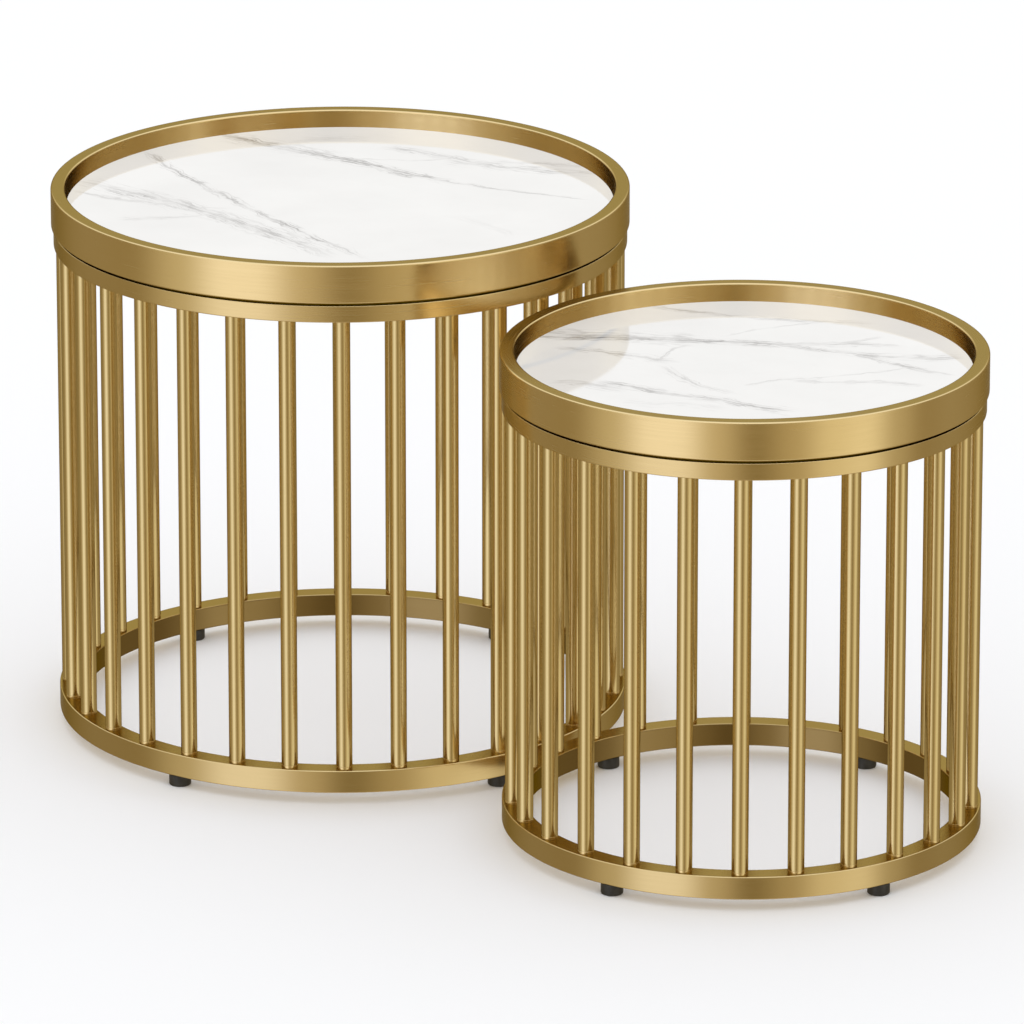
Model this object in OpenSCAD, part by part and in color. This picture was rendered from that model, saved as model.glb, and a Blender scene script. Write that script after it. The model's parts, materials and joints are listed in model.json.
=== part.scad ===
// A pair of round nesting tables. Each table is a closed cage of upright tubes
// between two rolled rings, and a shallow tray on the cage holds a stone top.
// The small table fits inside the large cage once the large one is lifted over it.
// +Z is up, the floor is z = 0 and the front of the pair faces -Y.

/* [Large table] */
// Outer radius of the large tray
large_r = 250; // [215:1:310]
// Height of the large table, from the floor to its tray's edge
large_h = 480; // [390:1:600]
// Number of upright tubes round the large cage
large_rods = 32; // [20:1:36]
// Angle of the large cage's first tube, from the front
large_rod_turn = 1.2; // [0:0.1:11.2]

/* [Small table] */
// Outer radius of the small tray
small_r = 205; // [165:1:215]
// Height of the small table, from the floor to its tray's edge
small_h = 425; // [340:1:430]
// Number of upright tubes round the small cage
small_rods = 26; // [16:1:28]
// Angle of the small cage's first tube, from the front
small_rod_turn = 12.2; // [0:0.1:13.8]

/* [Placing] */
// Clear gap between the two trays
table_gap = 6; // [2:1:200]
// Angle of the small table from the large one, from +X towards the front
place_angle = 42; // [0:1:90]

/* [Tray] */
// Width of the tray's band, seen from above
rim_w = 12.4; // [8:0.1:16]
// Height of the tray's band
rim_h = 33.5; // [27:0.1:45]
// Edge radius of the tray's band
rim_edge = 1.8; // [0.5:0.1:3]
// Thickness of the stone top
stone_t = 11; // [8:0.5:14]
// Gap round the stone top
stone_gap = 1; // [0.5:0.1:2]
// Bevel of the stone top's upper edge
stone_bevel = 0.6; // [0.2:0.1:1.5]
// Thickness of the cushion pads under the stone
pad_t = 1; // [0.5:0.1:2]
// Radius of a cushion pad
pad_r = 8; // [5:1:12]
// Number of cushion pads under one stone
pad_count = 8; // [4:1:12]
// Thickness of the backing board
board_t = 3; // [2:0.5:5]
// Thickness of the tabs that carry the board
tab_t = 3; // [2:0.5:5]
// Width of a tab, along the band
tab_w = 30; // [14:1:40]
// How far a tab reaches in from the band
tab_l = 30; // [16:1:50]
// Number of tabs and tray screws on one table
tab_count = 6; // [3:1:8]

/* [Cage] */
// How far the cage's rings stand in from the tray's outside
cage_inset = 2; // [1:0.1:3]
// Width of the rings, seen from above
ring_w = 19; // [15:0.1:23]
// Height of the upper ring
upper_ring_h = 15; // [12:0.5:20]
// Height of the base ring
base_ring_h = 20; // [17:0.5:25]
// Edge radius of the rings
ring_edge = 1.2; // [0.4:0.1:2]
// Wall thickness of the rolled bands and rings
wall_t = 1.5; // [1:0.1:2]
// Gap between the upper ring and the tray
tray_gap = 2; // [1:0.1:5]
// Diameter of an upright tube
rod_d = 14; // [11:0.5:17]
// Wall thickness of an upright tube
rod_wall = 1.2; // [0.8:0.1:2]
// Distance from a ring's outer face to the tubes
rod_margin = 2; // [1:0.1:4]
// Height of the plug's collar, seen at a tube's foot
collar_h = 2.5; // [1.5:0.5:5]
// Length of a plug's spigot inside its tube
spigot_l = 14; // [8:1:25]
// Diameter of the pin under a plug
plug_pin_d = 6; // [4:0.5:8]
// How far the plug's pin stands past the ring's wall
plug_pin_past = 1.5; // [0.5:0.1:3]

/* [Tray screws] */
// Diameter of a tray screw
screw_d = 4; // [3:0.5:5]
// Diameter of a tray screw's head
screw_head_d = 8; // [6:0.5:9]
// Height of a tray screw's head
screw_head_h = 2.8; // [2:0.1:4]
// Width across the flats of the hexagon socket in the head
screw_socket = 2.5; // [2:0.5:3]
// Outer diameter of a spacer washer
spacer_d = 9; // [7:0.5:10]

/* [Levelling glides] */
// Diameter of a glide
glide_d = 19; // [15:0.5:24]
// Height of a glide, from the floor to the base ring
glide_h = 10; // [8:0.5:15]
// Chamfer round the bottom of a glide
glide_chamfer = 1.6; // [0.5:0.1:2.5]
// Angle of the front glides from the front, and of the back ones from the back
glide_angle = 35; // [25:1:60]
// Diameter of a glide's threaded stud
stud_d = 6; // [5:1:8]
// Length of the stud above the glide
stud_l = 13; // [10:0.5:15]
// Width across the flats of the stud's head, inside the glide
stud_head_w = 10; // [8:0.5:12]
// Height of the stud's head
stud_head_h = 3.5; // [2:0.5:5]
// Thickness of the glide under the stud's head
glide_floor = 2.5; // [2:0.5:4]
// Outer diameter of a threaded insert in the base ring
insert_d = 9; // [8:0.5:11]
// Length of a threaded insert inside the ring
insert_l = 11; // [7:0.5:13]
// Diameter of an insert's flange
flange_d = 13; // [11:0.5:14]
// Thickness of an insert's flange
flange_t = 0.8; // [0.5:0.1:1.5]

/* [Fits] */
// Radial clearance of a shank, a stud or a spigot in its own hole
fit = 0.05; // [0.02:0.01:0.1]
// Radial clearance of a screw or an insert in a drilled hole
hole_clear = 0.25; // [0.1:0.05:0.5]

/* [Hidden] */
TABLES = ["large", "small"];
QUARTERS = ["front_right", "back_right", "back_left", "front_left"];
GROUPS = ["tray_rim", "tray_tabs", "backing_board", "cushion_pads", "stone_top", "tray_spacers",
          "tray_screws", "upper_ring", "base_ring", "rod_plugs", "glide_inserts"];
QUARTER_GROUPS = ["rods", "glide", "glide_stud"];

// Sizes of each table, large first
TRAY_R = [large_r, small_r];
HEIGHT = [large_h, small_h];
RODS = [large_rods, small_rods];
ROD_TURN = [large_rod_turn, small_rod_turn];

// The small table's place from the large one, and the middle of the pair's box
centre_distance = large_r + small_r + table_gap;
small_dx = centre_distance * cos(place_angle);
small_dy = -centre_distance * sin(place_angle);
middle_x = (max(large_r, small_dx + small_r) + min(-large_r, small_dx - small_r)) / 2;
middle_y = (max(large_r, small_dy + small_r) + min(-large_r, small_dy - small_r)) / 2;
PLACE = [[-middle_x, -middle_y, 0], [small_dx - middle_x, small_dy - middle_y, 0]];

// Heights that both tables share, up from the floor
base_ring_z = glide_h;
base_top_z = base_ring_z + base_ring_h;
tube_z = base_top_z + collar_h;

// Heights above the underside of the tray's band
board_z = tab_t;
pad_z = board_z + board_t;
stone_z = pad_z + pad_t;

// Radii measured inwards from the tray's outside
rod_in = cage_inset + rod_margin + rod_d / 2;
ring_mid_in = cage_inset + ring_w / 2;
screw_in = (rim_w + cage_inset + ring_w) / 2;

rod_bore_r = rod_d / 2 - rod_wall;
screw_hole_r = screw_d / 2 + hole_clear;
insert_hole_r = insert_d / 2 + hole_clear;
stud_hole_r = stud_d / 2 + fit;
flange_recess_r = flange_d / 2 + hole_clear;
flange_recess_h = flange_t + hole_clear;
thread_end_gap = 0.5;
drill_past = 1;
GLIDE_ANGLES = [glide_angle, 180 - glide_angle, 180 + glide_angle, -glide_angle];

BRASS = [0.73, 0.59, 0.34];
STONE = [0.94, 0.94, 0.93];
BOARD = [0.55, 0.43, 0.30];
BLACK = [0.07, 0.07, 0.07];
STEEL = [0.62, 0.62, 0.60];

$fn = 96;

// Height of the tray's underside on table t
function tray_z(t) = HEIGHT[t] - rim_h;
// Height of the upper ring's underside on table t
function upper_z(t) = tray_z(t) - tray_gap - upper_ring_h;
// Angle between neighbouring tubes on table t
function rod_step(t) = 360 / RODS[t];
// Angle of tube i on table t, from the front towards +X
function rod_angle(t, i) = ROD_TURN[t] + i * rod_step(t);
// Angle of tray screw k: the middle of the gap between tubes that lies nearest its even place
function screw_angle(t, k) =
    rod_angle(t, round((k + 0.5) * 360 / tab_count / rod_step(t)) + 0.5);

// Puts a piece at angle a from the front, dist in from the tray's outside of table t
module polar_place(t, a, dist, z) {
    rotate([0, 0, a])
        translate([0, -(TRAY_R[t] - dist), z])
            children();
}

// Rectangle with rounded corners, its lower left corner at the origin
module rounded_section(w, h, edge) {
    translate([edge, 0])
        square([w - 2 * edge, h]);
    translate([0, edge])
        square([w, h - 2 * edge]);
    for (x = [edge, w - edge], y = [edge, h - edge])
        translate([x, y])
            circle(edge, $fn = 32);
}

// Hollow ring rolled from rectangular tube, outer radius r, standing on z = 0
module rolled_ring(r, w, h, edge) {
    rotate_extrude($fn = 180)
        translate([r - w, 0])
            difference() {
                rounded_section(w, h, edge);
                translate([wall_t, wall_t])
                    square([w - 2 * wall_t, h - 2 * wall_t]);
            }
}

// Band of the tray: it rises past the stone as a raised lip
module tray_rim(t) {
    color(BRASS)
        translate([0, 0, tray_z(t)])
            rolled_ring(TRAY_R[t], rim_w, rim_h, rim_edge);
}

// Tabs welded inside the band, flush with its underside, each tapped for a tray screw
module tray_tabs(t) {
    color(BRASS)
        for (k = [0 : tab_count - 1])
            polar_place(t, screw_angle(t, k), 0, tray_z(t))
                difference() {
                    tab_plate(TRAY_R[t]);
                    translate([0, screw_in, -drill_past])
                        cylinder(r = screw_d / 2 + fit, h = tab_t + 2 * drill_past);
                }
}

// One tab in its place behind a band of outer radius r, with its outer end on the band's curve
module tab_plate(r) {
    intersection() {
        translate([-tab_w / 2, 0, 0])
            cube([tab_w, rim_w + tab_l, tab_t]);
        translate([0, r, 0])
            cylinder(r = r - rim_w, h = tab_t, $fn = 180);
    }
}

// Board that rests on the tabs and backs the stone
module backing_board(t) {
    color(BOARD)
        translate([0, 0, tray_z(t) + board_z])
            cylinder(r = TRAY_R[t] - rim_w - stone_gap, h = board_t, $fn = 180);
}

// Rubber pads between the board and the stone
module cushion_pads(t) {
    pad_in = rim_w + stone_gap + 3 * pad_r;
    color(BLACK)
        for (k = [0 : pad_count - 1])
            polar_place(t, k * 360 / pad_count, pad_in, tray_z(t) + pad_z)
                cylinder(r = pad_r, h = pad_t);
}

// Stone disc with a fine bevel round its upper edge
module stone_top(t) {
    r = TRAY_R[t] - rim_w - stone_gap;
    color(STONE)
        translate([0, 0, tray_z(t) + stone_z])
            rotate_extrude($fn = 180)
                polygon([[0, 0], [r, 0], [r, stone_t - stone_bevel],
                         [r - stone_bevel, stone_t], [0, stone_t]]);
}

// Washers that hold the tray off the cage and leave the dark line under it
module tray_spacers(t) {
    color(BLACK)
        for (k = [0 : tab_count - 1])
            polar_place(t, screw_angle(t, k), screw_in, tray_z(t) - tray_gap)
                difference() {
                    cylinder(d = spacer_d, h = tray_gap);
                    translate([0, 0, -drill_past])
                        cylinder(r = screw_hole_r, h = tray_gap + 2 * drill_past);
                }
}

// Screws from under the upper ring, through the spacers, into the tabs
module tray_screws(t) {
    shank_l = upper_ring_h + tray_gap + tab_t - thread_end_gap;
    color(STEEL)
        for (k = [0 : tab_count - 1])
            polar_place(t, screw_angle(t, k), screw_in, upper_z(t))
                difference() {
                    union() {
                        translate([0, 0, -screw_head_h])
                            cylinder(d = screw_head_d, h = screw_head_h);
                        cylinder(d = screw_d, h = shank_l);
                    }
                    translate([0, 0, -screw_head_h - drill_past])
                        cylinder(d = screw_socket / cos(30), h = screw_head_h / 2 + drill_past, $fn = 6);
                }
}

// Ring over the tubes, drilled right through for the tray screws
module upper_ring(t) {
    color(BRASS)
        difference() {
            translate([0, 0, upper_z(t)])
                rolled_ring(TRAY_R[t] - cage_inset, ring_w, upper_ring_h, ring_edge);
            for (k = [0 : tab_count - 1])
                polar_place(t, screw_angle(t, k), screw_in, upper_z(t) - drill_past)
                    cylinder(r = screw_hole_r, h = upper_ring_h + 2 * drill_past);
        }
}

// Ring under the tubes, with a hole for each plug's pin and each glide's insert
module base_ring(t) {
    color(BRASS)
        difference() {
            translate([0, 0, base_ring_z])
                rolled_ring(TRAY_R[t] - cage_inset, ring_w, base_ring_h, ring_edge);
            for (i = [0 : RODS[t] - 1])
                polar_place(t, rod_angle(t, i), rod_in, base_top_z - wall_t - drill_past)
                    cylinder(r = plug_pin_d / 2 + fit, h = wall_t + 2 * drill_past, $fn = 32);
            for (a = GLIDE_ANGLES)
                polar_place(t, a, ring_mid_in, base_ring_z - drill_past)
                    cylinder(r = insert_hole_r, h = wall_t + 2 * drill_past);
        }
}

// Upright tubes of one quarter of the cage, from the plugs' collars to the upper ring
module rods(t, q) {
    tube_l = upper_z(t) - tube_z;
    color(BRASS)
        for (i = [0 : RODS[t] - 1])
            if (floor(i * len(QUARTERS) / RODS[t]) == q)
                polar_place(t, rod_angle(t, i), rod_in, tube_z)
                    difference() {
                        cylinder(d = rod_d, h = tube_l, $fn = 48);
                        translate([0, 0, -drill_past])
                            cylinder(r = rod_bore_r, h = tube_l + 2 * drill_past, $fn = 48);
                    }
}

// Turned plugs at the tubes' feet: a spigot in the tube, a collar and a pin in the ring
module rod_plugs(t) {
    color(BRASS)
        for (i = [0 : RODS[t] - 1])
            polar_place(t, rod_angle(t, i), rod_in, base_top_z) {
                cylinder(d = rod_d, h = collar_h, $fn = 48);
                cylinder(r = rod_bore_r - fit, h = collar_h + spigot_l, $fn = 48);
                translate([0, 0, -wall_t - plug_pin_past])
                    cylinder(d = plug_pin_d, h = wall_t + plug_pin_past + collar_h, $fn = 32);
            }
}

// Threaded inserts in the base ring's underside
module glide_inserts(t) {
    color(STEEL)
        for (a = GLIDE_ANGLES)
            polar_place(t, a, ring_mid_in, base_ring_z)
                difference() {
                    union() {
                        cylinder(d = insert_d, h = insert_l);
                        translate([0, 0, -flange_t])
                            cylinder(d = flange_d, h = flange_t);
                    }
                    translate([0, 0, -flange_t - drill_past])
                        cylinder(r = stud_hole_r, h = insert_l + flange_t + 2 * drill_past);
                }
}

// One glide: a chamfered black foot, hollowed for the insert's flange and the stud's head
module glide(t, q) {
    r = glide_d / 2;
    color(BLACK)
        polar_place(t, GLIDE_ANGLES[q], ring_mid_in, 0)
            difference() {
                rotate_extrude()
                    polygon([[0, 0], [r - glide_chamfer, 0], [r, glide_chamfer],
                             [r, glide_h], [0, glide_h]]);
                translate([0, 0, glide_h - flange_recess_h])
                    cylinder(r = flange_recess_r, h = flange_recess_h + drill_past);
                translate([0, 0, glide_floor])
                    cylinder(r = stud_hole_r, h = glide_h);
                translate([0, 0, glide_floor])
                    stud_head(fit);
            }
}

// Hexagon head of a stud, grown by clear all round
module stud_head(clear) {
    cylinder(d = (stud_head_w + 2 * clear) / cos(30), h = stud_head_h + clear, $fn = 6);
}

// Threaded stud that is moulded into a glide and screws into the base ring
module glide_stud(t, q) {
    color(STEEL)
        polar_place(t, GLIDE_ANGLES[q], ring_mid_in, glide_floor) {
            stud_head(0);
            cylinder(d = stud_d, h = glide_h - glide_floor + stud_l);
        }
}

for (t = [0, 1])
    translate(PLACE[t]) {
        tray_rim(t);
        tray_tabs(t);
        backing_board(t);
        cushion_pads(t);
        stone_top(t);
        tray_spacers(t);
        tray_screws(t);
        upper_ring(t);
        base_ring(t);
        rod_plugs(t);
        glide_inserts(t);
        for (q = [0 : len(QUARTERS) - 1]) {
            rods(t, q);
            glide(t, q);
            glide_stud(t, q);
        }
    }
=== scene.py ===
import json
import math

import bpy
import numpy as np
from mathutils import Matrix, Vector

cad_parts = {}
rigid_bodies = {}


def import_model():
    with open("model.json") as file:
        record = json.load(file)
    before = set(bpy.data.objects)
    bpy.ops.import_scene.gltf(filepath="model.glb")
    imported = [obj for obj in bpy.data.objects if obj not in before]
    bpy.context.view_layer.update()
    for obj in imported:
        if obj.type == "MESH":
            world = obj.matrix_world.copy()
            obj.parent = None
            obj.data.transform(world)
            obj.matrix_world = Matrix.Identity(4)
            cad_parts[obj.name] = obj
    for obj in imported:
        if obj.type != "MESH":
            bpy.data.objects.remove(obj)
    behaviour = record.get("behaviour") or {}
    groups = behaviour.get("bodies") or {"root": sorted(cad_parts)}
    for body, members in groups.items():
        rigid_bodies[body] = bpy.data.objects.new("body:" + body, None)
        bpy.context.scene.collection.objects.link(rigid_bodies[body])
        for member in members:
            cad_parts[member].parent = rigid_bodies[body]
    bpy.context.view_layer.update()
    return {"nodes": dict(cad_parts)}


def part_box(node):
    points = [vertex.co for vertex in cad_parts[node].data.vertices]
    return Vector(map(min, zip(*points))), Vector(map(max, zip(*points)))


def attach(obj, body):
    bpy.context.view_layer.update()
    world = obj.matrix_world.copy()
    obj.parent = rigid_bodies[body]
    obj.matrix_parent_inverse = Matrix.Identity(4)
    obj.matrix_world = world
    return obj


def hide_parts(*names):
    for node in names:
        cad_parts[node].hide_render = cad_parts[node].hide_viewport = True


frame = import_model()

# Two round nesting tables: cages of upright brass tubes between rolled rings, with shallow
# trays that hold white veined stone. Sizes are in metres. Angles are measured from the front
# (-Y) towards +X.
MM = 0.001
QUARTERS = ("front_right", "back_right", "back_left", "front_left")
TUBES = {"large": 32, "small": 26}

RIM_WIDTH = 12.4 * MM
RIM_EDGE = 1.8 * MM
RING_WIDTH = 19 * MM
RING_EDGE = 1.2 * MM
STONE_BEVEL = 0.6 * MM
STONE_FOOT_EDGE = 0.3 * MM
TUBE_R = 7 * MM
TUBE_WALL = 1.2 * MM
TUBE_EDGE = 0.25 * MM
TUBE_INSET = 2 * MM
GLIDE_EDGE = 1.5 * MM
GLIDE_TOP_EDGE = 0.4 * MM
GLIDE_RECESS_EDGE = 0.2 * MM
GLIDE_RECESS_R = 6.75 * MM
GLIDE_RECESS_H = 1.05 * MM
GLIDE_GAP = 0.05 * MM
STUD_R = 3 * MM
STUD_PITCH = 1 * MM
STUD_THREAD = 0.45 * MM
STUD_HEX_R = 5.7 * MM
STUD_HEX_H = 3.5 * MM
STUD_EDGE = 0.3 * MM
STUD_END = 0.4 * MM

# Sides of a turned surface, and rows of points across one pitch of a thread
ROUND = 384
TUBE_SIDES = 40
GLIDE_SIDES = 64
STUD_SIDES = 36
THREAD_ROWS = 6


# ---------------------------------------------------------------- places and sizes

class Table:
    """Places and sizes of one table, read from the boxes of its CAD nodes."""

    def __init__(self, name):
        self.name = name
        low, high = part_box(name + "_tray_rim")
        self.centre = np.array([(low.x + high.x) / 2, (low.y + high.y) / 2])
        self.radius = (high.x - low.x) / 2
        self.rim = (low.z, high.z)
        self.stone_r, self.stone = self.disc("stone_top")
        self.ring_r, self.upper = self.disc("upper_ring")
        _, self.base = self.disc("base_ring")
        low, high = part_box(name + "_rods_front_right")
        self.tube = (low.z, high.z)
        self.glides = {q: self.spot("glide_" + q) for q in QUARTERS}
        self.studs = {q: self.spot("glide_stud_" + q) for q in QUARTERS}
        self.tubes = self.tube_angles()
        self.tube_ring = self.ring_r - TUBE_INSET - TUBE_R

    def disc(self, node):
        """Outer radius, and lowest and highest z, of a round node."""
        low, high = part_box(self.name + "_" + node)
        return (high.x - low.x) / 2, (low.z, high.z)

    def spot(self, node):
        """Centre in plan, and lowest and highest z, of a small node."""
        low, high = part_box(self.name + "_" + node)
        return np.array([(low.x + high.x) / 2, (low.y + high.y) / 2]), (low.z, high.z)

    def tube_angles(self):
        """Angles of the tubes: n even steps, turned by the phase of the n-fold pattern that the
        CAD tubes' points make."""
        count = TUBES[self.name]
        angles = []
        for quarter in QUARTERS:
            mesh = frame["nodes"][self.name + "_rods_" + quarter].data
            points = np.zeros(len(mesh.vertices) * 3)
            mesh.vertices.foreach_get("co", points)
            points = points.reshape(-1, 3)[:, :2] - self.centre
            angles.append(np.arctan2(points[:, 0], -points[:, 1]))
        turn = np.angle(np.exp(1j * count * np.concatenate(angles)).mean()) / count
        return turn + np.arange(count) * 2 * math.pi / count

    def round_point(self, angle, radius):
        """Plan point at an angle from the front: centre + radius * (sin, -cos)."""
        return self.centre + radius * np.stack([np.sin(angle), -np.cos(angle)], axis=-1)


TABLES = {name: Table(name) for name in TUBES}


# ---------------------------------------------------------------- outlines

def rounded(corners, radii, turns=6, closed=True):
    """Outline in (r, z), counter-clockwise, with rounded corners. At each corner the arc of its
    radius touches both sides: its centre lies on the corner's bisector, and its points and
    outward normals turn evenly from one side's normal to the other's. Returns points, normals
    and a worn value that is 1 on arcs and 0 on open ends."""
    corners = np.array(corners, float)
    radii = np.array(radii, float)
    before = corners - np.roll(corners, 1, axis=0)
    after = np.roll(corners, -1, axis=0) - corners
    before /= np.linalg.norm(before, axis=1)[:, None]
    after /= np.linalg.norm(after, axis=1)[:, None]
    n0 = np.stack([before[:, 1], -before[:, 0]], axis=1)
    n1 = np.stack([after[:, 1], -after[:, 0]], axis=1)
    start = np.arctan2(n0[:, 1], n0[:, 0])
    sweep = np.arctan2(n0[:, 0] * n1[:, 1] - n0[:, 1] * n1[:, 0], (n0 * n1).sum(1))
    inset = radii * np.tan(np.abs(sweep) / 2)
    side = np.sign(sweep)
    centres = corners - before * inset[:, None] - n0 * (radii * side)[:, None]
    share = np.linspace(0, 1, turns + 1)
    angle = start[:, None] + sweep[:, None] * share
    normals = np.stack([np.cos(angle), np.sin(angle)], axis=2)
    points = centres[:, None] + normals * (radii * side)[:, None, None]
    worn = np.broadcast_to((radii > 0)[:, None] & (side > 0)[:, None], angle.shape).astype(float)
    if not closed:
        ends = [(corners[0], n1[0]), (corners[-1], n0[-1])]
        points = np.concatenate([ends[0][0][None], points[1:-1].reshape(-1, 2), ends[1][0][None]])
        normals = np.concatenate([ends[0][1][None], normals[1:-1].reshape(-1, 2), ends[1][1][None]])
        worn = np.concatenate([[0], worn[1:-1].ravel(), [0]])
        return points, normals, worn
    return points.reshape(-1, 2), normals.reshape(-1, 2), worn.ravel()


def box_outline(inner, outer, low, high, edge, turns=6):
    """Outline of a rectangular bar's section with four equally rounded corners."""
    return rounded([(inner, low), (outer, low), (outer, high), (inner, high)], [edge] * 4, turns)


# ---------------------------------------------------------------- surfaces

def surface(points, normals, across, worn, close_round, close_along):
    """Grid surface: points[i, j] with i round (or along) and j across. Returns its arrays:
    places, normals, quads, corner UVs (along the grain, across it) and the worn value."""
    ni, nj = points.shape[:2]
    i = np.arange(ni if close_round else ni - 1)
    j = np.arange(nj if close_along else nj - 1)
    i, j = np.meshgrid(i, j, indexing="ij")
    i, j = i.ravel(), j.ravel()
    i1, j1 = i + 1, j + 1
    quads = np.stack([i % ni * nj + j % nj, i1 % ni * nj + j % nj,
                      i1 % ni * nj + j1 % nj, i % ni * nj + j1 % nj], axis=1)
    along, over = across
    uv = np.stack([np.stack([along[a], over[b]], axis=1)
                   for a, b in ((i, j), (i1, j), (i1, j1), (i, j1))], axis=1)
    return {"co": points.reshape(-1, 3), "no": normals.reshape(-1, 3), "quads": quads,
            "uv": uv, "worn": worn.reshape(-1), "tris": np.zeros((0, 3), int),
            "tuv": np.zeros((0, 3, 2))}


def hoop(centre, outline, sides=ROUND, seam=math.pi):
    """Closed outline carried round a vertical axis: at angle a from the front a point (r, z) lies
    at centre + (r sin a, -r cos a), height z. The grain runs round, and its seam is at the back."""
    points, normals, worn = outline
    angle = seam + np.arange(sides) * 2 * math.pi / sides
    sine, cosine = np.sin(angle)[:, None], -np.cos(angle)[:, None]
    co = np.stack([centre[0] + sine * points[:, 0], centre[1] + cosine * points[:, 0],
                   np.broadcast_to(points[:, 1], (sides, len(points)))], axis=2)
    no = np.stack([sine * normals[:, 0], cosine * normals[:, 0],
                   np.broadcast_to(normals[:, 1], (sides, len(points)))], axis=2)
    step = np.linalg.norm(np.roll(points, -1, axis=0) - points, axis=1)
    over = np.concatenate([[0], np.cumsum(step)])
    along = np.arange(sides + 1) * 2 * math.pi / sides * points[:, 0].max()
    return surface(co, no, (along, over), np.broadcast_to(worn, (sides, len(points))), True, True)


def turned(centre, outline, sides=96):
    """Outline that starts and ends on the axis, carried round it and closed at both poles
    by a fan: the lathe's formula of hoop(), with one point at each pole."""
    points, normals, worn = outline
    inner = hoop(centre, (points[1:-1], normals[1:-1], worn[1:-1]), sides)
    rows = len(points) - 2
    keep = inner["quads"].reshape(sides, rows, 4)[:, :rows - 1].reshape(-1, 4)
    keep_uv = inner["uv"].reshape(sides, rows, 4, 2)[:, :rows - 1].reshape(-1, 4, 2)
    first, last = len(inner["co"]), len(inner["co"]) + 1
    a = np.arange(sides)
    b = (a + 1) % sides
    low = np.stack([a * rows, np.full(sides, first), b * rows], axis=1)
    high = np.stack([a * rows + rows - 1, b * rows + rows - 1, np.full(sides, last)], axis=1)
    poles = np.array([[centre[0], centre[1], points[k, 1]] for k in (0, -1)])
    pole_no = np.array([[0, 0, np.sign(normals[k, 1])] for k in (0, -1)])
    co = np.concatenate([inner["co"], poles])
    tris = np.concatenate([low, high])
    return {"co": co, "no": np.concatenate([inner["no"], pole_no]), "quads": keep,
            "uv": keep_uv, "worn": np.concatenate([inner["worn"], [0, 0]]),
            "tris": tris, "tuv": co[tris][:, :, :2] - np.asarray(centre)}


def upright(sides, outline):
    """Tube about the z axis whose grain runs up it: hoop() with its UVs turned, seam inwards (+Y)."""
    tube = hoop((0, 0), outline, sides)
    tube["uv"] = tube["uv"][:, :, ::-1]
    return tube


def repeated(shape, places, turns):
    """Copies of a shape, each turned about z by its angle and then moved to its place."""
    places, turns = np.asarray(places, float), np.asarray(turns, float)
    n, size = len(places), len(shape["co"])
    c, s = np.cos(turns), np.sin(turns)
    zero, one = np.zeros(n), np.ones(n)
    spin = np.stack([np.stack([c, -s, zero], 1), np.stack([s, c, zero], 1),
                     np.stack([zero, zero, one], 1)], axis=1)
    shift = np.concatenate([places, np.zeros((n, 3 - places.shape[1]))], axis=1)
    step = (np.arange(n) * size)[:, None, None]
    return {"co": (np.einsum("nij,kj->nki", spin, shape["co"]) + shift[:, None]).reshape(-1, 3),
            "no": np.einsum("nij,kj->nki", spin, shape["no"]).reshape(-1, 3),
            "quads": (shape["quads"][None] + step).reshape(-1, 4),
            "uv": np.tile(shape["uv"], (n, 1, 1)), "worn": np.tile(shape["worn"], n),
            "tris": (shape["tris"][None] + step).reshape(-1, 3),
            "tuv": np.tile(shape["tuv"], (n, 1, 1))}


def make(name, shape, finish, body, slot, *nodes):
    """Mesh object from a shape's arrays, with its own normals, its UV map "grain" and its
    attribute "worn". It rides a body and stands for CAD nodes."""
    mesh = bpy.data.meshes.new(name)
    quads, tris = shape["quads"], shape["tris"]
    corners = np.concatenate([quads.ravel(), tris.ravel()]).astype(np.int32)
    sizes = np.concatenate([np.full(len(quads), 4), np.full(len(tris), 3)])
    mesh.vertices.add(len(shape["co"]))
    mesh.vertices.foreach_set("co", shape["co"].ravel())
    mesh.loops.add(len(corners))
    mesh.loops.foreach_set("vertex_index", corners)
    mesh.polygons.add(len(sizes))
    starts = np.concatenate([[0], np.cumsum(sizes)[:-1]])
    mesh.polygons.foreach_set("loop_start", starts.astype(np.int32))
    mesh.update(calc_edges=True)
    mesh.validate()
    mesh.polygons.foreach_set("use_smooth", np.ones(len(sizes), bool))
    grain = mesh.uv_layers.new(name="grain")
    corner_uvs = np.concatenate([shape["uv"].reshape(-1, 2), shape["tuv"].reshape(-1, 2)])
    grain.data.foreach_set("uv", corner_uvs.ravel())
    worn = mesh.attributes.new("worn", "FLOAT", "POINT")
    worn.data.foreach_set("value", shape["worn"].astype(np.float32))
    mesh.normals_split_custom_set_from_vertices(shape["no"].astype(np.float32))
    mesh.materials.append(finish)
    piece = bpy.data.objects.new(name, mesh)
    bpy.context.scene.collection.objects.link(piece)
    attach(piece, body)
    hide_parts(*nodes)
    return piece


# ---------------------------------------------------------------- finishes

def add(tree, kind, inputs=None, **settings):
    """One shader node. An input given a socket is linked to it, and anything else is its value."""
    node = tree.nodes.new("ShaderNode" + kind)
    for key, value in settings.items():
        setattr(node, key, value)
    for key, value in (inputs or {}).items():
        if isinstance(value, bpy.types.NodeSocket):
            tree.links.new(value, node.inputs[key])
        else:
            node.inputs[key].default_value = value
    return node


def sum_of(tree, operation, a, b, clamp=False):
    """Result of one arithmetic node."""
    return add(tree, "Math", {0: a, 1: b}, operation=operation, use_clamp=clamp).outputs[0]


def spread(tree, value, low, high, to_low, to_high, smooth=False):
    """Value from one range carried to another."""
    node = add(tree, "MapRange", {"Value": value, "From Min": low, "From Max": high,
                                  "To Min": to_low, "To Max": to_high})
    if smooth:
        node.interpolation_type = "SMOOTHSTEP"
    return node.outputs["Result"]


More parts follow.
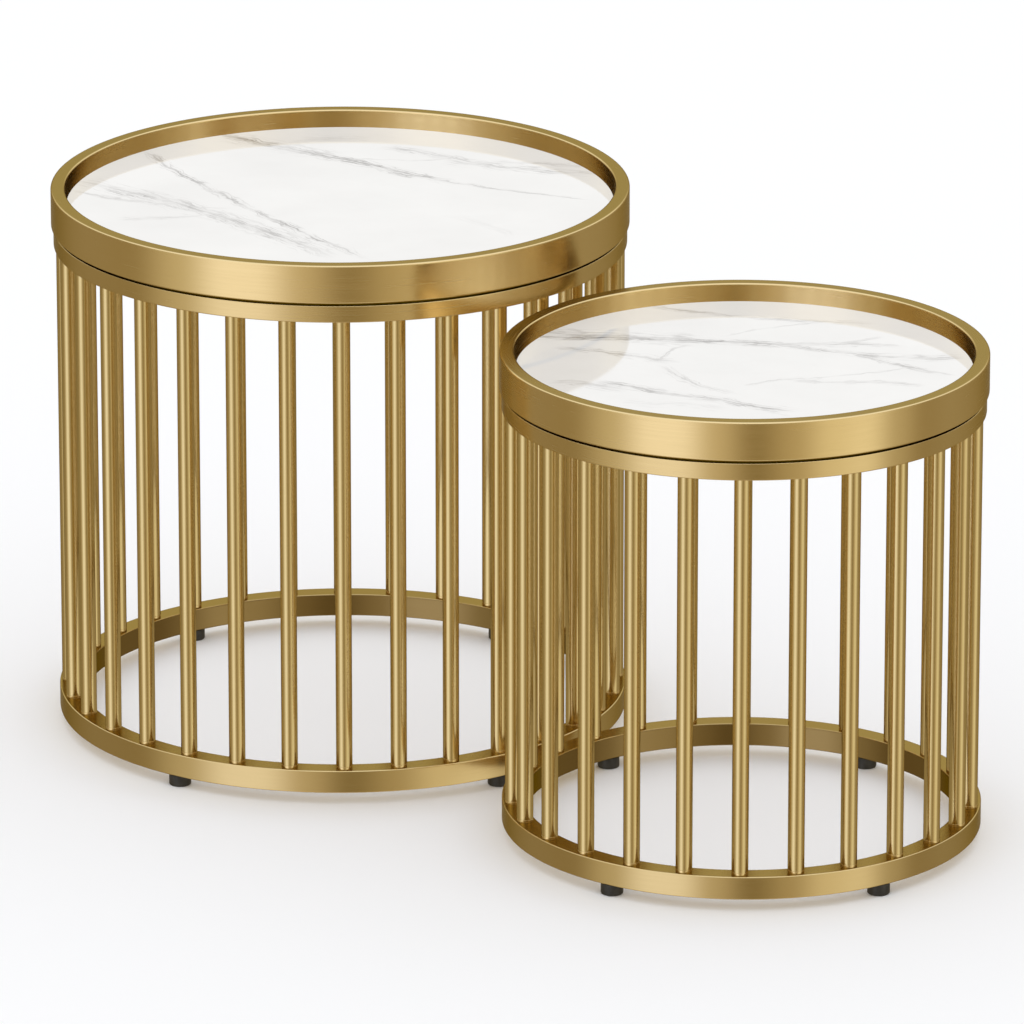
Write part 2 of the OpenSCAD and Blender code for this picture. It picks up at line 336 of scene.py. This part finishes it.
def noise(tree, vector, scale, detail=2.0, roughness=0.5):
    """Noise value, 0 to 1, at a vector."""
    return add(tree, "TexNoise", {"Vector": vector, "Scale": scale, "Detail": detail,
                                  "Roughness": roughness}).outputs["Fac"]


def blend_colour(tree, share, a, b, mode="MIX"):
    """Two colours mixed."""
    node = add(tree, "Mix", data_type="RGBA", blend_type=mode)
    for key, value in ((0, share), (6, a), (7, b)):
        if isinstance(value, bpy.types.NodeSocket):
            tree.links.new(value, node.inputs[key])
        else:
            node.inputs[key].default_value = value
    return node.outputs[2]


def new_finish(name, preview, **sockets):
    """Material with one Principled shader and its constant sockets. Returns it, its tree and
    the shader."""
    finish = bpy.data.materials.new(name)
    finish.use_nodes = True
    finish.diffuse_color = (*preview, 1)
    tree = finish.node_tree
    shader = tree.nodes["Principled BSDF"]
    for key, value in sockets.items():
        shader.inputs[key.replace("_", " ")].default_value = value
    return finish, tree, shader


BRASS = (0.88, 0.70, 0.36)
# Darker copies of BRASS for the upper ring, the base ring and the tubes, which are the same brass: painted
# shade, for the shade under the tray and in the cage.
BRASS_UPPER_SHADED = (0.73, 0.57, 0.275)
BRASS_BASE_SHADED = (0.58, 0.45, 0.21)
BRASS_TUBE_SHADED = (0.66, 0.545, 0.265)
POLISHED_EDGE = (0.95, 0.77, 0.45, 1)

# Noise steps a metre: across the brush marks, and along them on a ring and on a tube
MARKS_ACROSS = 1300.0
MARKS_ROUND = 14.0
MARKS_UP = 9.0


def brushed_brass(name, brass, round_grain, roughness, marked, painted_shade_amount=0.0):
    """Satin brushed brass. On a ring the brush marks run round it: noise that changes slowly in
    plan and quickly across the outline (UV v). On a tube they run up it: noise that changes
    slowly in z and quickly in plan. Both change roughness, colour and a very fine relief, and
    "marked" is how strong they are. Rounded edges are polished a little brighter. Where the
    painted-shade attribute is set, painted shade darkens the colour, by the amount given last,
    and makes it more olive. Towards a surface's outline it mirrors less and goes olive."""
    finish, tree, shader = new_finish(name, brass, Metallic=1.0, Anisotropic=0.45,
                                      Anisotropic_Rotation=0.25, Specular_Tint=(0.50, 0.42, 0.24, 1))
    here = add(tree, "TexCoord").outputs["Object"]
    if round_grain:
        plan = add(tree, "SeparateXYZ", {0: here})
        grain_uv = add(tree, "SeparateXYZ", {0: add(tree, "UVMap", uv_map="grain").outputs[0]})
        slow_x = sum_of(tree, "MULTIPLY", plan.outputs[0], MARKS_ROUND)
        slow_y = sum_of(tree, "MULTIPLY", plan.outputs[1], MARKS_ROUND)
        quick = sum_of(tree, "MULTIPLY", grain_uv.outputs[1], MARKS_ACROSS)
        marks = add(tree, "CombineXYZ", {0: slow_x, 1: slow_y, 2: quick}).outputs[0]
    else:
        scale = (MARKS_ACROSS, MARKS_ACROSS, MARKS_UP)
        marks = add(tree, "Mapping", {"Vector": here, "Scale": scale}).outputs[0]
    fine = noise(tree, marks, 2.2, 2.0)
    broad = noise(tree, marks, 0.45, 2.0)
    cloud = noise(tree, here, 9.0, 3.0)
    worn = add(tree, "Attribute", attribute_name="worn").outputs["Fac"]
    brush = sum_of(tree, "ADD", sum_of(tree, "MULTIPLY", fine, 0.55), sum_of(tree, "MULTIPLY", broad, 0.45))
    rough = spread(tree, brush, 0.3, 0.7, roughness - 0.05 * marked, roughness + 0.07 * marked)
    rough = sum_of(tree, "ADD", rough, spread(tree, cloud, 0.3, 0.7, -0.02, 0.03))
    rough = sum_of(tree, "SUBTRACT", rough, sum_of(tree, "MULTIPLY", worn, 0.06))
    tree.links.new(rough, shader.inputs["Roughness"])
    deep = (brass[0] * 0.86, brass[1] * 0.82, brass[2] * 0.74, 1)
    marks_share = spread(tree, brush, 0.25, 0.75, 0.0, 0.55 * marked)
    tint = blend_colour(tree, marks_share, (*brass, 1), deep)
    tint = blend_colour(tree, spread(tree, cloud, 0.35, 0.7, 0.0, 0.35 * marked), tint, deep)
    tint = blend_colour(tree, sum_of(tree, "MULTIPLY", worn, 0.5), tint, POLISHED_EDGE)
    # Painted shade: where the attribute is set, the colour is mixed towards a darker, more olive brass.
    if painted_shade_amount:
        share = add(tree, "Attribute", attribute_name="dull").outputs["Fac"]
        left = 1 - painted_shade_amount
        dull = (brass[0] * left, brass[1] * left * 0.92, brass[2] * left * 0.85, 1)
        tint = blend_colour(tree, share, tint, dull)
    tree.links.new(tint, shader.inputs["Base Color"])
    bump = add(tree, "Bump", {"Strength": 0.22 * marked, "Distance": 0.00002, "Height": brush})
    tree.links.new(bump.outputs[0], shader.inputs["Normal"])
    tangent = add(tree, "Tangent", direction_type="UV_MAP", uv_map="grain")
    tree.links.new(tangent.outputs[0], shader.inputs["Tangent"])
    return finish


STONE_WHITE = (0.885, 0.872, 0.838, 1)
STONE_CLOUD = (0.825, 0.812, 0.78, 1)
VEIN_GREY = (0.25, 0.235, 0.22, 1)

# The veins of each stone: where each starts and ends, in shares of the stone's radius from its
# middle (x, y, x, y), then in mm its bend, its width and the reach of its side strands, and
# last how dark it is.
VEINS = {
    "large": (
        (-0.47, 0.91, 0.40, 0.24, 2, 1.5, 8, 0.75), (-0.50, 0.92, -0.02, 0.58, 0, 5.0, 13, 0.40),
        (0.30, 0.31, 0.90, 0.02, -4, 0.9, 3, 0.55), (0.15, 0.73, 0.64, 0.42, 0, 1.2, 7, 0.55),
        (0.38, 0.53, 0.95, 0.36, -3, 1.1, 10, 0.45), (0.55, 0.53, 0.96, 0.46, 0, 1.0, 6, 0.30),
        (-0.02, 0.57, 0.52, 0.57, -6, 0.8, 2, 0.30), (-0.75, 0.68, 0.10, -0.73, -9, 1.3, 5, 0.60),
        (-0.98, 0.27, -0.03, -0.70, 15, 1.3, 13, 0.55), (-0.76, 0.12, -0.16, -0.52, 4, 1.1, 9, 0.45),
        (-0.98, 0.14, -0.40, -0.09, -10, 0.9, 4, 0.35), (-0.80, -0.24, -0.48, -0.19, 0, 0.9, 5, 0.22),
        (0.38, -0.18, 0.64, -0.44, 6, 1.4, 9, 0.10), (-0.20, 0.80, 0.10, 0.84, 3, 1.0, 8, 0.15)),
    "small": (
        (-0.97, 0.46, 0.28, 0.33, 3, 1.4, 7, 0.75), (-0.96, 0.52, -0.18, 0.37, 4, 1.2, 15, 0.50),
        (0.16, 0.35, 0.70, 0.31, 3, 1.0, 6, 0.45), (0.04, 0.37, 0.62, 0.12, 3, 1.1, 6, 0.55),
        (0.48, 0.17, 0.96, 0.15, -3, 1.2, 9, 0.50), (0.50, 0.17, 0.90, -0.13, -3, 1.0, 5, 0.50),
        (0.30, 0.33, 0.62, 0.46, -4, 0.8, 3, 0.28), (-0.82, 0.29, -0.28, 0.07, 3, 1.1, 7, 0.45),
        (-0.23, 0.34, -0.35, 0.04, -9, 0.9, 3, 0.35), (-0.37, 0.02, -0.04, -0.40, -7, 0.9, 5, 0.35),
        (-0.64, -0.21, 0.20, -0.65, -2, 1.4, 7, 0.65), (-0.12, -0.45, 0.18, -0.72, 2, 1.0, 4, 0.30),
        (-0.42, 0.94, 0.00, 0.77, -3, 1.1, 5, 0.50), (-0.02, 0.77, 0.58, 0.67, -3, 1.0, 5, 0.40),
        (-0.07, 0.47, 0.35, 0.69, 3, 0.8, 2, 0.25), (-0.01, -0.27, 0.27, -0.16, 2, 0.9, 3, 0.30),
        (0.19, -0.20, 0.77, -0.27, 3, 1.0, 5, 0.35), (0.26, -0.17, 0.72, -0.01, -2, 0.8, 3, 0.25),
        (-0.85, -0.23, -0.52, -0.34, 4, 1.3, 10, 0.35), (-0.55, -0.52, -0.10, -0.60, 4, 1.2, 9, 0.20)),
}


# How dark a vein's line, halo and strands are against its own darkness, and how many noise
# steps a metre the strands have along the vein and across it
LINE_DARK = 0.85
HALO_DARK = 0.28
STRAND_DARK = 0.8
STRANDS_ALONG = 26
STRANDS_ACROSS = 210.0


def vein(tree, plan, warp, radius, number, x0, y0, x1, y1, bend, width, reach, dark):
    """One vein. In its own frame (x from -1 to 1 along it, y across) it lies on the parabola
    y = bend (1 - x^2), pushed about by the warp. It is darkest there, has a faint halo, and
    within its reach runs with thin side strands, the ridges of a noise stretched along it."""
    half = math.hypot(x1 - x0, y1 - y0) / 2 * radius
    middle = ((x0 + x1) / 2 * radius, (y0 + y1) / 2 * radius, 0)
    turn = (0, 0, math.atan2(y1 - y0, x1 - x0))
    frame_of = add(tree, "Mapping", {"Vector": plan, "Location": middle, "Rotation": turn,
                                     "Scale": (half, 1, 1)}, vector_type="TEXTURE").outputs[0]
    own = add(tree, "SeparateXYZ", {0: frame_of})
    square = sum_of(tree, "MULTIPLY", own.outputs[0], own.outputs[0])
    curve = add(tree, "Math", {0: square, 1: bend * MM, 2: -bend * MM},
                operation="MULTIPLY_ADD").outputs[0]
    away = sum_of(tree, "ADD", sum_of(tree, "ADD", own.outputs[1], curve), warp)
    off = sum_of(tree, "ABSOLUTE", away, 0.0)
    line = spread(tree, off, 0.0, width * 1.3 * MM, dark * LINE_DARK, 0.0, smooth=True)
    halo = spread(tree, off, 0.0, reach * MM, dark * HALO_DARK, 0.0, smooth=True)
    strand_along = sum_of(tree, "MULTIPLY", own.outputs[0], half * STRANDS_ALONG)
    strand_across = sum_of(tree, "MULTIPLY", away, STRANDS_ACROSS)
    strand_way = add(tree, "CombineXYZ", {0: strand_along, 1: strand_across, 2: number * 3.7}).outputs[0]
    ridge = sum_of(tree, "ABSOLUTE", sum_of(tree, "SUBTRACT", noise(tree, strand_way, 1.0, 2.0), 0.5), 0.0)
    strand = sum_of(tree, "MULTIPLY", spread(tree, ridge, 0.0, 0.07, dark * STRAND_DARK, 0.0, smooth=True),
                    spread(tree, off, 0.6 * reach * MM, 1.6 * reach * MM, 1.0, 0.0, smooth=True))
    body = sum_of(tree, "ADD", sum_of(tree, "MAXIMUM", line, strand), halo)
    ends = sum_of(tree, "ABSOLUTE", own.outputs[0], 0.0)
    return sum_of(tree, "MULTIPLY", body, spread(tree, ends, 0.72, 1.08, 1.0, 0.0, smooth=True))


def polished_stone(name, centre, radius, veins):
    """Polished white stone: a white ground with faint clouds, and grey veins with thin side
    strands that thin out along the way."""
    finish, tree, shader = new_finish(name, (0.93, 0.93, 0.92), IOR=1.55)
    here = add(tree, "TexCoord").outputs["Object"]
    plan = add(tree, "Mapping", {"Vector": here, "Location": (-centre[0], -centre[1], 0)}).outputs[0]
    middle = noise(tree, plan, 24.0, 3.0)
    fine = noise(tree, plan, 130.0, 3.0)
    warp = sum_of(tree, "ADD", spread(tree, middle, 0.0, 1.0, -0.008, 0.008),
                  spread(tree, fine, 0.0, 1.0, -0.0022, 0.0022))
    total = None
    for number, each in enumerate(veins):
        one = vein(tree, plan, warp, radius, number, *each)
        total = one if total is None else sum_of(tree, "MAXIMUM", total, one)
    broken = noise(tree, plan, 34.0, 2.0)
    strength = sum_of(tree, "MULTIPLY", total, spread(tree, broken, 0.32, 0.62, 0.35, 1.15),
                      clamp=True)
    cloud = noise(tree, plan, 9.0, 4.0, 0.6)
    ground = blend_colour(tree, spread(tree, cloud, 0.35, 0.75, 0.0, 1.0), STONE_WHITE, STONE_CLOUD)
    tint = blend_colour(tree, strength, ground, VEIN_GREY)
    tree.links.new(tint, shader.inputs["Base Color"])
    tree.links.new(spread(tree, fine, 0.3, 0.7, 0.035, 0.06), shader.inputs["Roughness"])
    return finish


def moulded_black():
    """Black moulded plastic with the fine grain of its mould."""
    finish, tree, shader = new_finish("moulded_black", (0.03, 0.03, 0.03), Specular_IOR_Level=0.5)
    here = add(tree, "TexCoord").outputs["Object"]
    grain = noise(tree, here, 2600.0, 2.0)
    scuff = noise(tree, here, 160.0, 3.0)
    tint = blend_colour(tree, spread(tree, scuff, 0.4, 0.75, 0.0, 1.0),
                        (0.018, 0.017, 0.015, 1), (0.035, 0.032, 0.028, 1))
    tree.links.new(tint, shader.inputs["Base Color"])
    tree.links.new(spread(tree, grain, 0.3, 0.7, 0.42, 0.58), shader.inputs["Roughness"])
    bump = add(tree, "Bump", {"Strength": 0.3, "Distance": 0.00005, "Height": grain})
    tree.links.new(bump.outputs[0], shader.inputs["Normal"])
    return finish


def zinc_plate():
    """Zinc-plated steel: pale, with faint cloudy patches and fine scratches."""
    finish, tree, shader = new_finish("zinc_plate", (0.62, 0.62, 0.60), Metallic=1.0)
    here = add(tree, "TexCoord").outputs["Object"]
    cloud = noise(tree, here, 240.0, 3.0)
    tint = blend_colour(tree, cloud, (0.50, 0.50, 0.49, 1), (0.68, 0.67, 0.62, 1))
    tree.links.new(tint, shader.inputs["Base Color"])
    tree.links.new(spread(tree, cloud, 0.3, 0.7, 0.26, 0.44), shader.inputs["Roughness"])
    return finish


def fibreboard():
    """Raw fibreboard: short pressed fibres, brown with lighter and darker flecks."""
    finish, tree, shader = new_finish("fibreboard", (0.45, 0.33, 0.21), Roughness=0.85)
    here = add(tree, "TexCoord").outputs["Object"]
    stretched = add(tree, "Mapping", {"Vector": here, "Scale": (260.0, 900.0, 600.0),
                                      "Rotation": (0, 0, 0.6)}).outputs[0]
    fibres = noise(tree, stretched, 1.0, 4.0, 0.65)
    clumps = noise(tree, here, 45.0, 4.0)
    tint = blend_colour(tree, spread(tree, fibres, 0.3, 0.7, 0.0, 1.0),
                        (0.28, 0.19, 0.11, 1), (0.46, 0.34, 0.22, 1))
    tint = blend_colour(tree, spread(tree, clumps, 0.35, 0.7, 0.0, 0.45), tint,
                        (0.33, 0.24, 0.15, 1))
    tree.links.new(tint, shader.inputs["Base Color"])
    bump = add(tree, "Bump", {"Strength": 0.4, "Distance": 0.0002, "Height": fibres})
    tree.links.new(bump.outputs[0], shader.inputs["Normal"])
    return finish


def pad_rubber():
    """Matt black rubber with a dusty bloom."""
    finish, tree, shader = new_finish("pad_rubber", (0.05, 0.05, 0.05), Roughness=0.8)
    here = add(tree, "TexCoord").outputs["Object"]
    bloom = noise(tree, here, 300.0, 3.0)
    tint = blend_colour(tree, bloom, (0.02, 0.02, 0.02, 1), (0.06, 0.058, 0.055, 1))
    tree.links.new(tint, shader.inputs["Base Color"])
    return finish


# ---------------------------------------------------------------- the pieces

# The upper ring, base ring and tubes get the darker copies of BRASS as painted shade, and the band and
# rings are painted darker still where the painted-shade attribute is set.
RING_BRASS = brushed_brass("brass_brushed_round", BRASS, True, 0.27, 1.0, 0.85)
UPPER_BRASS = brushed_brass("brass_brushed_upper", BRASS_UPPER_SHADED, True, 0.27, 1.0, 0.85)
BASE_BRASS = brushed_brass("brass_brushed_base", BRASS_BASE_SHADED, True, 0.25, 0.8, 0.45)
TUBE_BRASS = brushed_brass("brass_brushed_upright", BRASS_TUBE_SHADED, False, 0.24, 0.4)
PLASTIC = moulded_black()
ZINC = zinc_plate()
BOARD = fibreboard()
RUBBER = pad_rubber()


def glide_shape(centre, low, high):
    """Glide turned from an outline with a rounded foot, and a recess at its top round the
    stud."""
    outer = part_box("large_glide_front_right")
    radius = (outer[1].x - outer[0].x) / 2
    corners = [(0, low), (radius, low), (radius, high), (GLIDE_RECESS_R, high),
               (GLIDE_RECESS_R, high - GLIDE_RECESS_H), (0, high - GLIDE_RECESS_H)]
    radii = [0, GLIDE_EDGE, GLIDE_TOP_EDGE, GLIDE_RECESS_EDGE, 0, 0]
    return turned(centre, rounded(corners, radii, 5, closed=False), GLIDE_SIDES)


def stud_shape(centre, low, high):
    """Threaded stud: a hexagon head, whose radius is its flat's distance over the cosine of the
    angle from that flat's middle, and above it a screw surface, whose radius falls from the
    crest by a triangle wave of height over pitch less the turn."""
    sides = STUD_SIDES
    turn = np.arange(sides) * 2 * math.pi / sides
    wave = np.abs((turn + math.pi / 6) % (math.pi / 3) - math.pi / 6)
    hexagon = STUD_HEX_R * math.cos(math.pi / 6) / np.cos(wave)
    head_top = low + STUD_HEX_H
    pitches = int((high - head_top) / STUD_PITCH)
    z = np.linspace(head_top, high, pitches * THREAD_ROWS + 1)
    phase = ((z[None] - head_top) / STUD_PITCH - turn[:, None] / (2 * math.pi)) % 1.0
    depth = np.clip(np.abs(phase - 0.5) * 2.6 - 0.3, 0, 1)
    threads = STUD_R - STUD_THREAD * (1 - depth)
    threads[:, -1] = STUD_R - STUD_THREAD
    top = threads[:, -1]
    axis = np.zeros((sides, 1))
    flat, edge = hexagon[:, None], hexagon[:, None] - STUD_EDGE
    end = top[:, None] - STUD_END
    radius = np.concatenate([axis, edge, flat, flat, edge, threads, end, axis], axis=1)
    head = [low, low, low + STUD_EDGE, head_top - STUD_EDGE, head_top]
    height = np.concatenate([head, z, [high, high]])
    height = np.broadcast_to(height, radius.shape)
    along = np.stack([np.sin(turn), -np.cos(turn)], axis=1)
    co = np.stack([centre[0] + radius * along[:, :1], centre[1] + radius * along[:, 1:], height], axis=2)
    d_along = np.roll(co, -1, axis=0) - np.roll(co, 1, axis=0)
    d_over = np.gradient(co, axis=1)
    no = np.cross(d_along, d_over)
    no[:, 0], no[:, -1] = (0, 0, -1), (0, 0, 1)
    no /= np.maximum(np.linalg.norm(no, axis=2), 1e-12)[:, :, None]
    girth = np.linspace(0, 2 * math.pi * STUD_R, sides + 1)
    body = surface(co, no, (girth, height[0]), np.zeros(radius.shape), True, False)
    return close_poles(body, sides, radius.shape[1], centre)


def close_poles(body, sides, rows, centre):
    """The grid's first and last columns lie on the axis: each becomes one point with a fan."""
    quads = body["quads"].reshape(sides, rows - 1, 4)
    uv = body["uv"].reshape(sides, rows - 1, 4, 2)
    first, last = 0, rows - 1
    a = np.arange(sides)
    b = (a + 1) % sides
    low = np.stack([np.full(sides, first), b * rows + 1, a * rows + 1], axis=1)
    high = np.stack([a * rows + rows - 2, b * rows + rows - 2, np.full(sides, last)], axis=1)
    tris = np.concatenate([low, high])
    used = np.unique(np.concatenate([quads[:, 1:-1].ravel(), tris.ravel()]))
    index = np.full(len(body["co"]), -1)
    index[used] = np.arange(len(used))
    return {"co": body["co"][used], "no": body["no"][used],
            "quads": index[quads[:, 1:-1].reshape(-1, 4)], "uv": uv[:, 1:-1].reshape(-1, 4, 2),
            "worn": body["worn"][used], "tris": index[tris],
            "tuv": body["co"][tris][:, :, :2] - np.asarray(centre)}


def round_bar(table, piece, node, outline, finish, painted_shade_amount):
    """Brass ring or band turned from its outline. How much painted shade it gets at each outline
    point, from 0 to 1, is kept in its painted-shade attribute."""
    ring = make(table.name + "_" + piece, hoop(table.centre, outline), finish, table.name + "_table",
                "brass", table.name + "_" + node)
    dull = ring.data.attributes.new("dull", "FLOAT", "POINT")
    dull.data.foreach_set("value", np.tile(painted_shade_amount, ROUND).astype(np.float32))


def build(table):
    """All the pieces of one table."""
    name, c = table.name, table.centre
    body = name + "_table"
    outline = box_outline(table.radius - RIM_WIDTH, table.radius, *table.rim, RIM_EDGE, 8)
    # Painted shade on the band: full on its underside, over the dark gap above the upper ring, and half on
    # its top face.
    round_bar(table, "tray_band", "tray_rim", outline, RING_BRASS,
              np.interp(outline[1][:, 1], (-0.95, -0.85, 0.85, 0.95), (1, 0, 0, 0.5)))
    inner = table.ring_r - RING_WIDTH
    outline = box_outline(inner, table.ring_r, *table.upper, RING_EDGE)
    # Painted shade on the upper ring's top face, in the dark gap under the band.
    round_bar(table, "rolled_upper_ring", "upper_ring", outline, UPPER_BRASS, outline[1][:, 1] > 0.9)
    outline = box_outline(inner, table.ring_r, *table.base, RING_EDGE)
    # Painted shade on the base ring: full on its inner faces, which face the shaded floor in the cage, and
    # 0.7 on its top face.
    round_bar(table, "rolled_base_ring", "base_ring", outline, BASE_BRASS,
              (outline[1][:, 0] < -0.5) + 0.7 * (outline[1][:, 1] > 0.9))

    low, high = table.stone
    corners = [(0, low), (table.stone_r, low), (table.stone_r, high), (0, high)]
    outline = rounded(corners, [0, STONE_FOOT_EDGE, STONE_BEVEL, 0], 5, closed=False)
    make(name + "_stone_disc", turned(c, outline, ROUND),
         polished_stone("stone_" + name, c, table.stone_r, VEINS[name]), body, "stone", name + "_stone_top")

    low, high = table.tube
    bore = TUBE_R - TUBE_WALL
    corners = [(bore, low), (TUBE_R, low), (TUBE_R, high), (bore, high)]
    outline = rounded(corners, [0, TUBE_EDGE, TUBE_EDGE, 0], 3)
    tube = upright(TUBE_SIDES, outline)
    count = len(table.tubes)
    quarter = np.arange(count) * len(QUARTERS) // count
    for k, q in enumerate(QUARTERS):
        angles = table.tubes[quarter == k]
        make(name + "_tubes_" + q, repeated(tube, table.round_point(angles, table.tube_ring), angles),
             TUBE_BRASS, body, "brass", name + "_rods_" + q)

    base_top = table.base[1]
    corners = [(0, base_top), (TUBE_R, base_top), (TUBE_R, low), (0, low)]
    outline = rounded(corners, [0, TUBE_EDGE, TUBE_EDGE, 0], 3, closed=False)
    places = table.round_point(table.tubes, table.tube_ring)
    collars = repeated(turned((0, 0), outline, TUBE_SIDES), places, table.tubes)
    make(name + "_plug_collars", collars, RING_BRASS, body, "brass", name + "_rod_plugs")

    for q in QUARTERS:
        centre, (low, high) = table.glides[q]
        make(f"{name}_foot_{q}", glide_shape(centre, low, high - GLIDE_GAP), PLASTIC, f"{name}_glide_{q}",
             "black_plastic", f"{name}_glide_{q}")
        centre, (low, high) = table.studs[q]
        make(f"{name}_stud_{q}", stud_shape(centre, low, high), ZINC, f"{name}_glide_{q}",
             "steel", f"{name}_glide_stud_{q}")

    for node, finish in (("tray_tabs", RING_BRASS), ("backing_board", BOARD), ("cushion_pads", RUBBER),
                         ("tray_spacers", PLASTIC), ("tray_screws", ZINC), ("glide_inserts", ZINC)):
        kept = frame["nodes"][name + "_" + node]
        kept.data.materials.clear()
        kept.data.materials.append(finish)


NOT_MIRRORED = ("stone_disc", "backing_board", "cushion_pads", "tray_spacers", "tray_screws",
                "tray_tabs")
NO_TINTED_LIGHT = ("tray_band", "rolled_upper_ring", "plug_collars", "tray_tabs")


def keep_light_clean(table):
    """The brass mirrors the studio and not the white tops or what lies under them, and the tubes,
    band, upper ring, plug collars and tabs cast no coloured light on the floor and the stone."""
    for piece in bpy.data.objects:
        part = piece.name.removeprefix(table.name + "_")
        if part in NOT_MIRRORED:
            piece.visible_glossy = False
        if part.startswith("tubes_") or part in NO_TINTED_LIGHT:
            piece.visible_diffuse = False


for each in TABLES.values():
    build(each)
    keep_light_clean(each)


# ---------------------------------------------------------------- floor, light and camera

FLOOR_HALF = 30.0
FLOOR_LINES = 5


def studio_floor():
    """Plain pale floor: a wide flat grid."""
    steps = np.linspace(-FLOOR_HALF, FLOOR_HALF, FLOOR_LINES)
    x, y = np.meshgrid(steps, steps, indexing="ij")
    co = np.stack([x, y, np.zeros_like(x)], axis=2)
    mesh = bpy.data.meshes.new("studio_floor")
    n = FLOOR_LINES
    i, j = [k.ravel() for k in np.meshgrid(np.arange(n - 1), np.arange(n - 1), indexing="ij")]
    quads = np.stack([i * n + j, (i + 1) * n + j, (i + 1) * n + j + 1, i * n + j + 1], axis=1)
    mesh.from_pydata(co.reshape(-1, 3).tolist(), [], quads.tolist())
    finish, tree, shader = new_finish("pale_floor", (0.94, 0.94, 0.94), Roughness=0.9,
                                      Specular_IOR_Level=0.0)
    here = add(tree, "TexCoord").outputs["Object"]
    mottle = noise(tree, here, 3.0, 2.0)
    tint = blend_colour(tree, mottle, (0.944, 0.942, 0.938, 1), (0.950, 0.948, 0.944, 1))
    tree.links.new(tint, shader.inputs["Base Color"])
    mesh.materials.append(finish)
    floor = bpy.data.objects.new("studio_floor", mesh)
    bpy.context.scene.collection.objects.link(floor)
    floor.visible_glossy = False


# What the brass mirrors round the tables, at eye level and below: azimuth in degrees from the
# front towards +X, and colour
STUDIO_WALL = (
    (-180, (0.38, 0.33, 0.23)), (-140, (0.36, 0.30, 0.20)), (-90, (0.30, 0.235, 0.125)),
    (-66, (0.56, 0.49, 0.34)), (-46, (1.0, 0.96, 0.92)), (-32, (1.0, 0.96, 0.92)),
    (-14, (0.56, 0.48, 0.33)), (4, (0.26, 0.20, 0.10)), (22, (0.46, 0.38, 0.23)),
    (40, (0.76, 0.68, 0.50)), (58, (0.86, 0.79, 0.63)), (76, (0.48, 0.41, 0.27)),
    (92, (0.31, 0.245, 0.135)), (116, (0.36, 0.30, 0.19)), (150, (0.40, 0.34, 0.24)),
    (180, (0.38, 0.33, 0.23)))

# Sines of the elevations between which the wall turns into the ceiling, and the light from
# below into the wall
CEILING_FADE = (math.sin(math.radians(24)), math.sin(math.radians(46)))
UNDER_FADE = (-math.sin(math.radians(64)), -math.sin(math.radians(44)))
UNDER = (0.62, 0.56, 0.46, 1)
EVEN_LIGHT = (1.055, 1.063, 1.085, 1)
BACKDROP = (0.985, 0.985, 0.985, 1)


def studio_light():
    """Soft studio. Everything is lit evenly from all round. What polished metal mirrors is a
    white ceiling that comes down lower at the back, and below it walls whose brightness changes
    with azimuth, as large soft panels and the dark between them do."""
    world = bpy.data.worlds.new("studio")
    bpy.context.scene.world = world
    world.use_nodes = True
    tree = world.node_tree
    tree.nodes.clear()
    way = add(tree, "SeparateXYZ", {0: add(tree, "TexCoord").outputs["Generated"]})
    back = sum_of(tree, "MULTIPLY", way.outputs[1], -1.0)
    azimuth = sum_of(tree, "ARCTAN2", way.outputs[0], back)
    share = spread(tree, azimuth, -math.pi, math.pi, 0.0, 1.0)
    wall = add(tree, "ValToRGB", {"Fac": share})
    ramp = wall.color_ramp
    ramp.interpolation = "EASE"
    while len(ramp.elements) < len(STUDIO_WALL):
        ramp.elements.new(0.5)
    for element, (degrees, colour) in zip(ramp.elements, STUDIO_WALL):
        element.position = degrees / 360 + 0.5
        element.color = (*colour, 1)
    height = way.outputs[2]
    lifted = sum_of(tree, "ADD", height, spread(tree, way.outputs[1], 0.3, 0.8, 0.0, 0.38))
    ceiling = spread(tree, lifted, *CEILING_FADE, 0.0, 1.0, smooth=True)
    under = spread(tree, height, *UNDER_FADE, 1.0, 0.0, smooth=True)
    mirrored = blend_colour(tree, under, wall.outputs["Color"], UNDER)
    mirrored = blend_colour(tree, ceiling, mirrored, (1.0, 1.0, 1.0, 1))
    ray = add(tree, "LightPath")
    light = blend_colour(tree, ray.outputs["Is Glossy Ray"], EVEN_LIGHT, mirrored)
    light = blend_colour(tree, ray.outputs["Is Camera Ray"], light, BACKDROP)
    out = add(tree, "OutputWorld")
    tree.links.new(add(tree, "Background", {"Color": light, "Strength": 1.0}).outputs[0], out.inputs[0])
    world.cycles.sampling_method = "NONE"


EYE = (-0.0005, -8.0, 2.81686)
EYE_DOWN = 17.952
LENS = 344.37


def camera():
    """Camera with a long lens, looking along +Y and a little down."""
    lens = bpy.data.cameras.new("camera")
    lens.sensor_width = 36
    lens.lens = LENS
    lens.clip_end = 100
    eye = bpy.data.objects.new("camera", lens)
    bpy.context.scene.collection.objects.link(eye)
    eye.location = EYE
    eye.rotation_euler = (math.radians(90 - EYE_DOWN), 0, 0)
    bpy.context.scene.camera = eye


studio_floor()
studio_light()
camera()
bpy.context.scene.view_settings.view_transform = "Standard"
